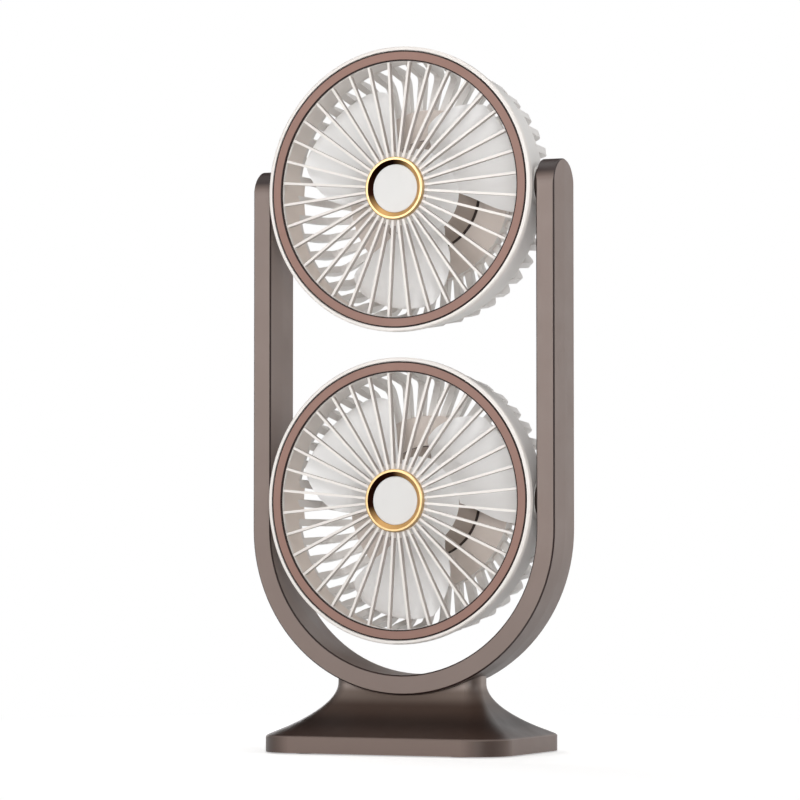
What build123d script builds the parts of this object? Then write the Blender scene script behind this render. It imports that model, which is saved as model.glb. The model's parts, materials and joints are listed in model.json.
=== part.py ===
from build123d import *
import os
from math import cos, radians, sin, sqrt

# Two-head table fan. Millimetres, +Z up, +X to the fan's right, -Y to its front.
# The origin is the middle of the face that the four feet stand on.
# Each head is drawn about its own fan axis: local X is the tilt axis, local Y is up,
# and local Z points forward. It is then set on its pivot in the yoke.

# Fits shared by the whole fan
running_fit = 0.05
loose_fit = 0.2
seat_gap = 0.15

# Front ring and grille of a head
rim_radius = 75.0
rim_front = 18.7
rim_depth = 3.5
rim_edge_round = 0.8
rim_bore = 67.2
bezel_outer = 72.8
bezel_inner = 67.4
bezel_gap = 0.35
bezel_thickness = 1.3
bezel_edge = 0.25
tongue_wall = 1.0
tongue_height = 1.2
spoke_count = 36
spoke_width = 1.3
spoke_depth = 2.9
spoke_rise = 4.0
spoke_sink = 0.1
spoke_root = 0.5

# Middle of the front grille
hub_front = 23.3
hub_ring_outer = 16.5
hub_ring_inner = 15.0
hub_ring_height = 2.7
hub_ring_round = 0.6
hub_seat_height = 3.0
hub_cap_radius = 12.6
hub_cap_recess = 1.75

# Side wall of a head
drum_front_radius = 74.3
drum_rear_radius = 71.8
drum_rear = -6.0
drum_wall = 2.0

# Tilt pivots
pivot_boss_radius = 10.5
pivot_boss_reach = 73.8
pivot_pad_rear = -12.3
trunnion_radius = 5.0
trunnion_reach = 82.0
trunnion_bore_radius = 2.5
bush_wall = 1.5
washer_thickness = 2.0

# Rear grille and motor chamber
rib_count = 42
rib_width = 3.8
rib_depth = 5.0
rib_lead = 8.0
rib_corner = 9.0
rib_inner_corner = 3.5
rib_swirl = 9.0
cage_rear = -31.3
cage_ring_depth = 2.2
chamber_radius = 46.0
chamber_wall = 2.3
chamber_front = -22.3
chamber_floor = 2.2
bearing_radius = 4.0
bearing_tube_radius = 6.5
bearing_tube_front = -14.0
stator_collar_radius = 8.5
stator_collar_height = 1.8
cap_post_circle = 38.0
cap_post_radius = 3.2
rear_cap_thickness = 2.0
cap_screw_count = 3

# Impeller and its motor
blade_count = 3
blade_tip_radius = 62.0
blade_root_radius = 21.0
blade_thickness = 1.6
blade_front = -3.5
blade_rear = -19.8
blade_first_angle = 25.0
blade_sweep = 80.0
blade_sections = 6
blade_tip_round = 9.0
blade_tip_power = 4
hub_front_face = -7.3
hub_front_radius = 24.0
hub_foot = -21.6
hub_foot_radius = 30.0
hub_wall = 1.6
hub_boss_radius = 3.6
hub_boss_depth = 4.5
magnet_outer = 20.0
magnet_wall = 2.2
magnet_front = -12.0
magnet_length = 8.6
magnet_skirt_wall = 1.5
magnet_skirt_length = 9.0
air_gap = 0.6
stator_thickness = 5.0
stator_poles = 9
stator_pole_width = 3.2
stator_core_wall = 2.4
shaft_radius = 1.5
shaft_blind = 1.0
shaft_rear = -26.2
bearing_length = 3.2
motor_board_radius = 33.0
motor_board_bore = 9.0
motor_board_thickness = 1.2
motor_board_standoff = 1.4
motor_board_ledge = 2.5

# Yoke
upper_pivot_height = 294.9
lower_pivot_height = 131.5
yoke_outer = 86.7
yoke_inner = 76.0
yoke_bend_height = 116.7
yoke_half_depth = 14.0
yoke_draft = 1.0
yoke_wall = 2.0
yoke_edge = 0.7
saddle_half_height = 9.5
saddle_reach = 82.2
yoke_post_radius = 3.0
yoke_post_heights = (252.0, 205.0, 176.0)
yoke_bend_post_angle = 45.0

# Pedestal and base
base_width = 138.0
base_depth = 98.0
base_corner = 20.0
base_bottom = 0.6
base_top = 9.4
base_edge = 0.8
neck_width = 81.6
neck_depth = 19.0
neck_corner = 7.0
neck_height = 36.5
flare_steps = 6
flare_power = 2
base_wall = 2.5
base_roof = 2.0
cover_thickness = 1.6
cover_post_radius = 3.2
cover_post_inset = 11.0
lead_passage_radius = 4.0
neck_screw_x = 20.0
neck_screw_y = 5.5
neck_screw_seat = 22.0
neck_screw_reach = 39.5
foot_radius = 6.5
foot_thickness = 1.2
foot_inset_x = 25.0
foot_inset_y = 14.0
weight_thickness = 3.4
weight_side_gap = 13.5
weight_end_gap = 3.5
weight_width = base_width - 2 * (base_wall + weight_side_gap)
weight_depth = base_depth - 2 * (base_wall + weight_end_gap)
weight_corner = 8.0
weight_notch_width = 74.0
weight_notch_front = 8.0

# Controls on the back edge of the base
board_width = 62.0
board_depth = 24.0
board_thickness = 1.2
board_rear_gap = 2.5
inlet_width = 9.0
inlet_height = 3.2
inlet_depth = 7.4
inlet_recess = 0.5
inlet_shell = 0.35
inlet_centre = 5.0
inlet_back = 1.2
inlet_tongue_width = 6.7
inlet_tongue_height = 0.7
button_spacing = 44.0
button_width = 9.0
button_height = 3.0
button_proud = 0.6
button_flange = 0.7
button_flange_thickness = 1.2
button_travel = 0.8
button_edge_round = 0.4
button_centre = 5.0
switch_width = 6.0
switch_body = 3.2
switch_plunger_radius = 1.0
switch_height = 3.2
switch_clearance = 0.1

# Screws
screw_shank = 1.1
screw_head = 2.2
screw_head_height = 1.6
screw_socket = 1.2
screw_socket_depth = 0.8
yoke_screw_recess = 6.0
yoke_screw_end = 8.0
neck_screw_shank = 1.5
neck_screw_head = 2.8
neck_screw_head_height = 2.2
cover_screw_length = 5.4
cover_screw_head_height = 0.8
cover_screw_recess = 1.0

head_heights = {"upper": upper_pivot_height, "lower": lower_pivot_height}


def head_plane(height):
    """Plane of a head: local X along the tilt axis, local Z along the fan axis, forward."""
    return Plane(origin=(0, 0, height), x_dir=(1, 0, 0), z_dir=(0, -1, 0))


def export_piece(piece, name):
    piece.label = name
    export_step(piece, "parts/" + name + ".step")


def export_on_heads(piece, name):
    """Write one copy of a head's piece for each head."""
    for head, height in head_heights.items():
        export_piece(piece.moved(head_plane(height).location), head + "_" + name)


def radial_plane(angle):
    """Plane through the local Z axis: its X runs outward at the angle, its Y forward."""
    turn = radians(angle)
    return Plane(origin=(0, 0, 0), x_dir=(cos(turn), sin(turn), 0), z_dir=(sin(turn), -cos(turn), 0))


def head_side_radius(z):
    """Outer radius of a head's side, which narrows evenly from the rim to the back."""
    drum_front = rim_front - rim_depth
    taper = (drum_front_radius - drum_rear_radius) / (drum_front - drum_rear)
    return drum_front_radius - taper * (drum_front - z)


def make_front_grille():
    rim_back = rim_front - rim_depth
    groove_floor = rim_front - bezel_thickness
    tongue_middle = drum_front_radius - drum_wall / 2
    slot_outer = tongue_middle + tongue_wall / 2 + seat_gap
    slot_inner = tongue_middle - tongue_wall / 2 - seat_gap
    slot_floor = rim_back + tongue_height + seat_gap
    hub_back = hub_front - hub_ring_height - hub_seat_height
    hub_seat = hub_front - hub_ring_height
    spoke_front = groove_floor - spoke_sink
    hub_radius = hub_ring_outer + seat_gap
    with BuildPart() as grille:
        with BuildSketch(Plane.XZ):
            with BuildLine():
                Polyline(
                    (rim_bore, rim_back),
                    (rim_bore, groove_floor),
                    (bezel_outer + bezel_gap, groove_floor),
                    (bezel_outer + bezel_gap, rim_front),
                    (rim_radius - rim_edge_round, rim_front),
                )
                RadiusArc(
                    (rim_radius - rim_edge_round, rim_front),
                    (rim_radius, rim_front - rim_edge_round),
                    rim_edge_round,
                )
                Polyline(
                    (rim_radius, rim_front - rim_edge_round),
                    (rim_radius, rim_back),
                    (slot_outer, rim_back),
                    (slot_outer, slot_floor),
                    (slot_inner, slot_floor),
                    (slot_inner, rim_back),
                    (rim_bore, rim_back),
                )
            make_face()
        revolve(axis=Axis.Z)
        for number in range(spoke_count):
            turn = (number + 0.5) * 360 / spoke_count
            with BuildSketch(radial_plane(turn)):
                with BuildLine():
                    Polyline(
                        (hub_radius - spoke_root, hub_back + spoke_root),
                        (hub_radius - spoke_root, hub_seat - spoke_root),
                        (hub_radius, hub_seat),
                        (hub_radius, spoke_front + spoke_rise),
                        (rim_bore + spoke_root, spoke_front),
                        (rim_bore + spoke_root, spoke_front - spoke_depth + spoke_root),
                        (rim_bore, spoke_front - spoke_depth),
                        close=True,
                    )
                make_face()
            extrude(amount=spoke_width / 2, both=True)
        with BuildSketch(Plane.XY.offset(hub_back)):
            Circle(hub_radius)
        extrude(amount=hub_seat_height)
    return grille.part


def make_bezel_ring():
    with BuildPart() as bezel:
        with BuildSketch(Plane.XY.offset(rim_front - bezel_thickness)):
            Circle(bezel_outer)
            Circle(bezel_inner, mode=Mode.SUBTRACT)
        extrude(amount=bezel_thickness)
        chamfer(bezel.faces().sort_by(Axis.Z)[-1].edges(), bezel_edge)
    return bezel.part


def make_hub_ring():
    ring_back = hub_front - hub_ring_height
    cap_face = hub_front - hub_cap_recess
    with BuildPart() as ring:
        with BuildSketch(Plane.XZ):
            with BuildLine():
                Polyline(
                    (hub_ring_outer - hub_ring_round, hub_front),
                    (hub_ring_inner, hub_front),
                    (hub_cap_radius + seat_gap, cap_face),
                    (hub_cap_radius + seat_gap, ring_back),
                    (hub_ring_outer, ring_back),
                    (hub_ring_outer, hub_front - hub_ring_round),
                )
                RadiusArc(
                    (hub_ring_outer, hub_front - hub_ring_round),
                    (hub_ring_outer - hub_ring_round, hub_front),
                    -hub_ring_round,
                )
            make_face()
        revolve(axis=Axis.Z)
    return ring.part


def make_hub_cap():
    cap_back = hub_front - hub_ring_height
    with BuildPart() as cap:
        with BuildSketch(Plane.XY.offset(cap_back)):
            Circle(hub_cap_radius)
        extrude(amount=hub_ring_height - hub_cap_recess)
        fillet(cap.faces().sort_by(Axis.Z)[-1].edges(), bezel_edge)
    return cap.part


def make_pivot_pads(clearance):
    """Two patches of side wall behind the drum's edge, which back the pivot bosses."""
    front_inner = drum_rear_radius - drum_wall - clearance
    rear_inner = head_side_radius(pivot_pad_rear) - drum_wall - clearance
    with BuildPart() as pads:
        with BuildSketch(Plane.XZ):
            with BuildLine():
                Polyline(
                    (front_inner, drum_rear),
                    (drum_rear_radius + clearance * rib_depth, drum_rear),
                    (head_side_radius(pivot_pad_rear) + clearance * rib_depth, pivot_pad_rear - clearance),
                    (rear_inner, pivot_pad_rear - clearance),
                    close=True,
                )
            make_face()
        revolve(axis=Axis.Z)
        with BuildSketch(Plane.XY.offset(pivot_pad_rear - clearance)):
            Rectangle(3 * drum_rear_radius, 2 * (pivot_boss_radius + clearance))
        extrude(amount=drum_rear - pivot_pad_rear + clearance, mode=Mode.INTERSECT)
    return pads.part


def make_drum():
    drum_front = rim_front - rim_depth
    tongue_middle = drum_front_radius - drum_wall / 2
    pads = make_pivot_pads(0)
    with BuildPart() as drum:
        with BuildSketch(Plane.XZ):
            with BuildLine():
                Polyline(
                    (0, drum_front),
                    (drum_front_radius, drum_front),
                    (drum_rear_radius, drum_rear),
                    (0, drum_rear),
                    close=True,
                )
            make_face()
        revolve(axis=Axis.Z)
        with BuildSketch(Plane.YZ):
            Circle(pivot_boss_radius)
        extrude(amount=pivot_boss_reach, both=True)
        with BuildSketch(Plane.YZ):
            Circle(trunnion_radius)
        extrude(amount=trunnion_reach, both=True)
        with BuildSketch(Plane.XZ):
            with BuildLine():
                Polyline(
                    (0, drum_front),
                    (drum_front_radius - drum_wall, drum_front),
                    (head_side_radius(pivot_pad_rear) - drum_wall, pivot_pad_rear),
                    (0, pivot_pad_rear),
                    close=True,
                )
            make_face()
        revolve(axis=Axis.Z, mode=Mode.SUBTRACT)
        add(pads)
        with BuildSketch(Plane.XY.offset(drum_front)):
            Circle(tongue_middle + tongue_wall / 2)
            Circle(tongue_middle - tongue_wall / 2, mode=Mode.SUBTRACT)
        extrude(amount=tongue_height)
        with BuildSketch(Plane.YZ):
            Circle(trunnion_bore_radius)
        extrude(amount=trunnion_reach, mode=Mode.SUBTRACT)
    return drum.part


def make_rear_grille():
    ring_rear = drum_rear - cage_ring_depth
    ring_rear_radius = head_side_radius(ring_rear)
    corner_start = cage_rear + rib_corner
    lean = drum_rear_radius - head_side_radius(corner_start)
    inner_face = lean + rib_depth
    pad_pockets = make_pivot_pads(seat_gap)
    chamber_bore = chamber_radius - chamber_wall
    floor_back = chamber_front - chamber_floor
    board_seat = motor_board_bore + motor_board_ledge
    stator_back = chamber_front + stator_collar_height
    swirl = radians(rib_swirl)
    side_step = drum_rear_radius * sin(swirl)
    rib_run = drum_rear_radius * cos(swirl) - sqrt((chamber_radius - chamber_wall / 2) ** 2 - side_step**2)
    rib_inner_back = cage_rear + rib_depth
    with BuildPart() as cage:
        for number in range(rib_count):
            turn = radians(number * 360 / rib_count)
            inward = turn + radians(180) - swirl
            foot = (drum_rear_radius * cos(turn), drum_rear_radius * sin(turn), 0)
            rib_plane = Plane(
                origin=foot,
                x_dir=(cos(inward), sin(inward), 0),
                z_dir=(sin(inward), -cos(inward), 0),
            )
            with BuildSketch(rib_plane):
                with BuildLine():
                    Polyline((drum_wall, drum_rear), (0, drum_rear), (lean, corner_start))
                    RadiusArc((lean, corner_start), (lean + rib_corner, cage_rear), -rib_corner)
                    Polyline(
                        (lean + rib_corner, cage_rear),
                        (rib_run, cage_rear),
                        (rib_run, rib_inner_back),
                        (inner_face + rib_inner_corner, rib_inner_back),
                    )
                    RadiusArc(
                        (inner_face + rib_inner_corner, rib_inner_back),
                        (inner_face, rib_inner_back + rib_inner_corner),
                        rib_inner_corner,
                    )
                    Polyline(
                        (inner_face, rib_inner_back + rib_inner_corner),
                        (rib_depth, drum_rear - rib_lead),
                        (drum_wall, drum_rear),
                    )
                make_face()
            extrude(amount=rib_width / 2, both=True)
        with BuildSketch(Plane.XZ):
            with BuildLine():
                Polyline(
                    (drum_rear_radius - drum_wall, drum_rear),
                    (drum_rear_radius, drum_rear),
                    (ring_rear_radius, ring_rear),
                    (ring_rear_radius - drum_wall, ring_rear),
                    close=True,
                )
            make_face()
            with BuildLine():
                Polyline(
                    (bearing_radius, bearing_tube_front),
                    (bearing_tube_radius, bearing_tube_front),
                    (bearing_tube_radius, stator_back),
                    (stator_collar_radius, stator_back),
                    (stator_collar_radius, chamber_front),
                    (chamber_radius, chamber_front),
                    (chamber_radius, cage_rear),
                    (chamber_bore, cage_rear),
                    (chamber_bore, floor_back),
                    (board_seat, floor_back),
                    (board_seat, floor_back - motor_board_standoff),
                    (bearing_radius, floor_back - motor_board_standoff),
                    close=True,
                )
            make_face()
        revolve(axis=Axis.Z)
        add(pad_pockets, mode=Mode.SUBTRACT)
        with BuildSketch(Plane.XY.offset(floor_back)):
            with PolarLocations(cap_post_circle, cap_screw_count, start_angle=90):
                Circle(cap_post_radius)
        extrude(amount=-(floor_back - cage_rear - rear_cap_thickness))
        with BuildSketch(Plane.XY.offset(floor_back)):
            with PolarLocations(cap_post_circle, cap_screw_count, start_angle=90):
                Circle(screw_shank)
        extrude(amount=-(floor_back - cage_rear), mode=Mode.SUBTRACT)
    return cage.part


def make_rear_cap():
    cap_radius = chamber_radius - chamber_wall - loose_fit
    with BuildPart() as cap:
        with BuildSketch(Plane.XY.offset(cage_rear)):
            Circle(cap_radius)
        extrude(amount=rear_cap_thickness)
        with Locations(Plane(origin=(0, 0, cage_rear), z_dir=(0, 0, -1))):
            with PolarLocations(cap_post_circle, cap_screw_count, start_angle=-90):
                CounterBoreHole(
                    radius=screw_shank + seat_gap,
                    counter_bore_radius=screw_head + seat_gap,
                    counter_bore_depth=screw_head_height / 2,
                )
        chamfer(cap.faces().sort_by(Axis.Z)[0].outer_wire().edges(), bezel_edge)
    return cap.part


def make_screw(shank, head, head_height, length):
    """Screw along Z with its head's top at the origin and its shank below."""
    with BuildPart() as screw:
        with BuildSketch(Plane.XY):
            Circle(head)
        extrude(amount=-head_height)
        with BuildSketch(Plane.XY):
            Circle(shank)
        extrude(amount=-length)
        with BuildSketch(Plane.XY):
            RegularPolygon(screw_socket * head / screw_head, 6)
        extrude(amount=-screw_socket_depth, mode=Mode.SUBTRACT)
    return screw.part


def make_rear_cap_screws():
    head_top = cage_rear + (screw_head_height / 2 - screw_head_height) + screw_head_height / 2
    length = chamber_front - chamber_floor - head_top
    screw = make_screw(screw_shank, screw_head, screw_head_height / 2, length)
    with BuildPart() as screws:
        with Locations(Plane(origin=(0, 0, head_top), z_dir=(0, 0, -1))):
            with PolarLocations(cap_post_circle, cap_screw_count, start_angle=-90):
                add(screw)
    return screws.part


def make_impeller():
    boss_back = hub_front_face - hub_wall - hub_boss_depth
    skirt_outer = magnet_outer + magnet_skirt_wall
    hub_back_face = hub_front_face - hub_wall
    blade_start = -blade_sweep / 2
    blade_step = blade_sweep / blade_sections
    with BuildPart() as blade:
        for section in range(blade_sections + 1):
            share = section / blade_sections
            height = blade_rear + (blade_front - blade_rear) * share
            edge = abs(2 * share - 1) ** blade_tip_power
            tip = blade_tip_radius - blade_tip_round * edge
            root = blade_root_radius
            with BuildSketch(radial_plane(blade_start + blade_step * section)):
                with BuildLine():
                    Polyline(
                        (root, height - blade_thickness / 2),
                        (tip, height - blade_thickness / 2),
                        (tip, height + blade_thickness / 2),
                        (root, height + blade_thickness / 2),
                        close=True,
                    )
                make_face()
        loft()
    with BuildPart() as impeller:
        with PolarLocations(0, blade_count, start_angle=blade_first_angle):
            add(blade.part)
        with BuildSketch(Plane.XZ):
            with BuildLine():
                Polyline(
                    (0, hub_front_face),
                    (hub_front_radius - hub_wall / 2, hub_front_face),
                    (hub_foot_radius - hub_wall / 2, hub_foot),
                    (0, hub_foot),
                    close=True,
                )
            make_face()
        revolve(axis=Axis.Z, mode=Mode.SUBTRACT)
        with BuildSketch(Plane.XZ):
            with BuildLine():
                Polyline(
                    (0, hub_front_face),
                    (hub_front_radius, hub_front_face),
                    (hub_foot_radius, hub_foot),
                    (hub_foot_radius - hub_wall, hub_foot),
                    (hub_front_radius - hub_wall, hub_back_face),
                    (skirt_outer, hub_back_face),
                    (skirt_outer, hub_back_face - magnet_skirt_length),
                    (magnet_outer, hub_back_face - magnet_skirt_length),
                    (magnet_outer, hub_back_face),
                    (hub_boss_radius, hub_back_face),
                    (hub_boss_radius, boss_back),
                    (shaft_radius, boss_back),
                    (shaft_radius, hub_back_face - shaft_blind),
                    (0, hub_back_face - shaft_blind),
                    close=True,
                )
            make_face()
        revolve(axis=Axis.Z)
    return impeller.part


def make_rotor_shaft():
    shaft_front = hub_front_face - hub_wall - shaft_blind
    with BuildPart() as shaft:
        with BuildSketch(Plane.XY.offset(shaft_rear)):
            Circle(shaft_radius)
        extrude(amount=shaft_front - shaft_rear)
        chamfer(shaft.faces().sort_by(Axis.Z)[0].edges(), bezel_edge)
    return shaft.part


def make_magnet_ring():
    with BuildPart() as magnet:
        with BuildSketch(Plane.XY.offset(magnet_front - magnet_length)):
            Circle(magnet_outer)
            Circle(magnet_outer - magnet_wall, mode=Mode.SUBTRACT)
        extrude(amount=magnet_length)
    return magnet.part


def make_stator():
    stator_back = chamber_front + stator_collar_height
    shoe_outer = magnet_outer - magnet_wall - air_gap
    with BuildPart() as stator:
        with BuildSketch(Plane.XY.offset(stator_back)):
            Circle(bearing_tube_radius + stator_core_wall)
            with PolarLocations(0, stator_poles):
                with Locations((shoe_outer / 2, 0)):
                    Rectangle(shoe_outer, stator_pole_width)
            Circle(shoe_outer, mode=Mode.INTERSECT)
            Circle(bearing_tube_radius, mode=Mode.SUBTRACT)
        extrude(amount=stator_thickness)
    return stator.part


def make_bearings():
    tube_back = chamber_front - chamber_floor
    with BuildPart() as bearings:
        for level in (bearing_tube_front - bearing_length, tube_back):
            with BuildSketch(Plane.XY.offset(level)):
                Circle(bearing_radius)
                Circle(shaft_radius + running_fit, mode=Mode.SUBTRACT)
            extrude(amount=bearing_length)
    return bearings.part


def make_motor_board():
    board_front = chamber_front - chamber_floor - motor_board_standoff
    with BuildPart() as board:
        with BuildSketch(Plane.XY.offset(board_front - motor_board_thickness)):
            Circle(motor_board_radius)
            Circle(motor_board_bore, mode=Mode.SUBTRACT)
        extrude(amount=motor_board_thickness)
    return board.part


for name, maker in {
    "front_grille": make_front_grille,
    "bezel_ring": make_bezel_ring,
    "hub_ring": make_hub_ring,
    "hub_cap": make_hub_cap,
    "drum": make_drum,
    "rear_grille": make_rear_grille,
    "rear_cap": make_rear_cap,
    "rear_cap_screws": make_rear_cap_screws,
    "impeller": make_impeller,
    "rotor_shaft": make_rotor_shaft,
    "magnet_ring": make_magnet_ring,
    "stator": make_stator,
    "shaft_bushes": make_bearings,
    "motor_board": make_motor_board,
}.items():
    export_on_heads(maker(), name)


def yoke_band(outer, inner, top):
    """U-shaped outline of the yoke, open upward, in the XZ plane."""
    with BuildSketch(Plane.XZ) as band:
        with BuildLine():
            Line((-outer, top), (-outer, yoke_bend_height))
            ThreePointArc((-outer, yoke_bend_height), (0, yoke_bend_height - outer), (outer, yoke_bend_height))
            Polyline((outer, yoke_bend_height), (outer, top), (inner, top), (inner, yoke_bend_height))
            ThreePointArc((inner, yoke_bend_height), (0, yoke_bend_height - inner), (-inner, yoke_bend_height))
            Polyline((-inner, yoke_bend_height), (-inner, top), (-outer, top))
        make_face()
    return band.sketch


def arm_side(half_depth):
    """Side view of an arm with its round top, in the YZ plane."""
    with BuildSketch(Plane.YZ) as side:
        with Locations((0, upper_pivot_height / 2)):
            Rectangle(2 * half_depth, upper_pivot_height)
        with Locations((0, upper_pivot_height)):
            Circle(half_depth)
    return side.sketch


def yoke_arc_height(radius, x):
    """Height of the yoke's bend at x, on a circle of the radius about its centre."""
    return yoke_bend_height - sqrt(radius**2 - x**2)


def yoke_screw_places():
    """X and Z of the screws that close the yoke, down both arms and at the bend."""
    middle = (yoke_outer + yoke_inner) / 2
    bend = radians(yoke_bend_post_angle)
    places = []
    for side in (-1, 1):
        for height in yoke_post_heights:
            places.append((side * middle, height))
        places.append((side * middle * sin(bend), yoke_bend_height - middle * cos(bend)))
    return places


def neck_screw_places():
    return [(x, y) for x in (-neck_screw_x, neck_screw_x) for y in (-neck_screw_y, neck_screw_y)]


def make_yoke():
    """The whole hollow yoke, before it is parted into its front and rear shells."""
    top = upper_pivot_height + yoke_half_depth
    middle_wall = yoke_wall / 2
    inner_depth = yoke_half_depth - yoke_wall
    bush_radius = trunnion_radius + running_fit + bush_wall
    post_foot = yoke_arc_height(yoke_outer - middle_wall, neck_screw_x)
    post_top = yoke_arc_height(yoke_inner + middle_wall, neck_screw_x)
    with BuildPart() as channel:
        extrude(yoke_band(yoke_outer - yoke_wall, yoke_inner + yoke_wall, top), amount=inner_depth, both=True)
        extrude(arm_side(inner_depth), amount=yoke_outer, both=True, mode=Mode.INTERSECT)
    with BuildPart() as arm_block:
        extrude(arm_side(yoke_half_depth), amount=yoke_outer, both=True)
        chamfer(arm_block.faces().filter_by(Axis.X).edges(), yoke_edge)
    with BuildPart() as yoke:
        extrude(yoke_band(yoke_outer, yoke_inner, top), amount=yoke_half_depth, both=True, taper=yoke_draft)
        chamfer(yoke.faces().filter_by(Axis.Y).edges(), yoke_edge)
        add(channel.part, mode=Mode.SUBTRACT)
        for x, z in yoke_screw_places():
            with BuildSketch(Plane.XZ):
                with Locations((x, z)):
                    Circle(yoke_post_radius)
            extrude(amount=inner_depth + middle_wall, both=True)
        for height in head_heights.values():
            for side in (Plane.YZ, Plane(origin=(0, 0, 0), x_dir=(0, -1, 0), z_dir=(-1, 0, 0))):
                with BuildSketch(side.offset(yoke_inner + middle_wall)):
                    with Locations((0, height)):
                        Rectangle(2 * inner_depth + yoke_wall, 2 * saddle_half_height)
                extrude(amount=saddle_reach - yoke_inner - middle_wall)
        add(arm_block.part, mode=Mode.INTERSECT)
        for height in head_heights.values():
            with BuildSketch(Plane.YZ):
                with Locations((0, height)):
                    Circle(bush_radius)
            extrude(amount=saddle_reach, both=True, mode=Mode.SUBTRACT)
        for x, y in neck_screw_places():
            with BuildSketch(Plane.XY.offset(post_foot)):
                with Locations((x, y)):
                    Circle(neck_screw_head)
            extrude(amount=post_top - post_foot)
            with BuildSketch(Plane.XY):
                with Locations((x, y)):
                    Circle(neck_screw_shank)
            extrude(amount=neck_screw_reach, mode=Mode.SUBTRACT)
        with BuildSketch(Plane.XY):
            Circle(lead_passage_radius)
        extrude(amount=yoke_arc_height(yoke_outer - yoke_wall, 0) + middle_wall, mode=Mode.SUBTRACT)
    return yoke.part


def make_yoke_front_shell(yoke):
    with BuildPart() as shell:
        add(yoke)
        split(bisect_by=Plane.XZ, keep=Keep.TOP)
        for x, z in yoke_screw_places():
            with BuildSketch(Plane.XZ):
                with Locations((x, z)):
                    Circle(screw_shank)
            extrude(amount=yoke_screw_end, mode=Mode.SUBTRACT)
    return shell.part


def make_yoke_rear_shell(yoke):
    seat = yoke_half_depth - yoke_screw_recess
    with BuildPart() as shell:
        add(yoke)
        split(bisect_by=Plane.XZ, keep=Keep.BOTTOM)
        for x, z in yoke_screw_places():
            with BuildSketch(Plane.XZ):
                with Locations((x, z)):
                    Circle(screw_shank + seat_gap)
            extrude(amount=-yoke_half_depth, mode=Mode.SUBTRACT)
            with BuildSketch(Plane.XZ.offset(-seat)):
                with Locations((x, z)):
                    Circle(screw_head + seat_gap)
            extrude(amount=-yoke_screw_recess, mode=Mode.SUBTRACT)
    return shell.part


def make_yoke_screws():
    head_top = yoke_half_depth - yoke_screw_recess + screw_head_height
    screw = make_screw(screw_shank, screw_head, screw_head_height, head_top + yoke_screw_end)
    with BuildPart() as screws:
        for x, z in yoke_screw_places():
            with Locations(Plane(origin=(x, head_top, z), z_dir=(0, 1, 0))):
                add(screw)
    return screws.part


def make_pivot_bushes(height):
    with BuildPart() as bushes:
        for side in (-1, 1):
            with BuildSketch(Plane.YZ.offset(side * yoke_inner)):
                with Locations((0, height)):
                    Circle(trunnion_radius + running_fit + bush_wall)
                    Circle(trunnion_radius + running_fit, mode=Mode.SUBTRACT)
            extrude(amount=side * (saddle_reach - yoke_inner))
    return bushes.part


def make_pivot_washers(height):
    with BuildPart() as washers:
        for side in (-1, 1):
            with BuildSketch(Plane.YZ.offset(side * yoke_inner)):
                with Locations((0, height)):
                    Circle(pivot_boss_radius)
                    Circle(trunnion_radius + loose_fit, mode=Mode.SUBTRACT)
            extrude(amount=-side * washer_thickness)
    return washers.part


def cover_post_places():
    return GridLocations(base_width - 2 * cover_post_inset, base_depth - 2 * cover_post_inset, 2, 2)


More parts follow.
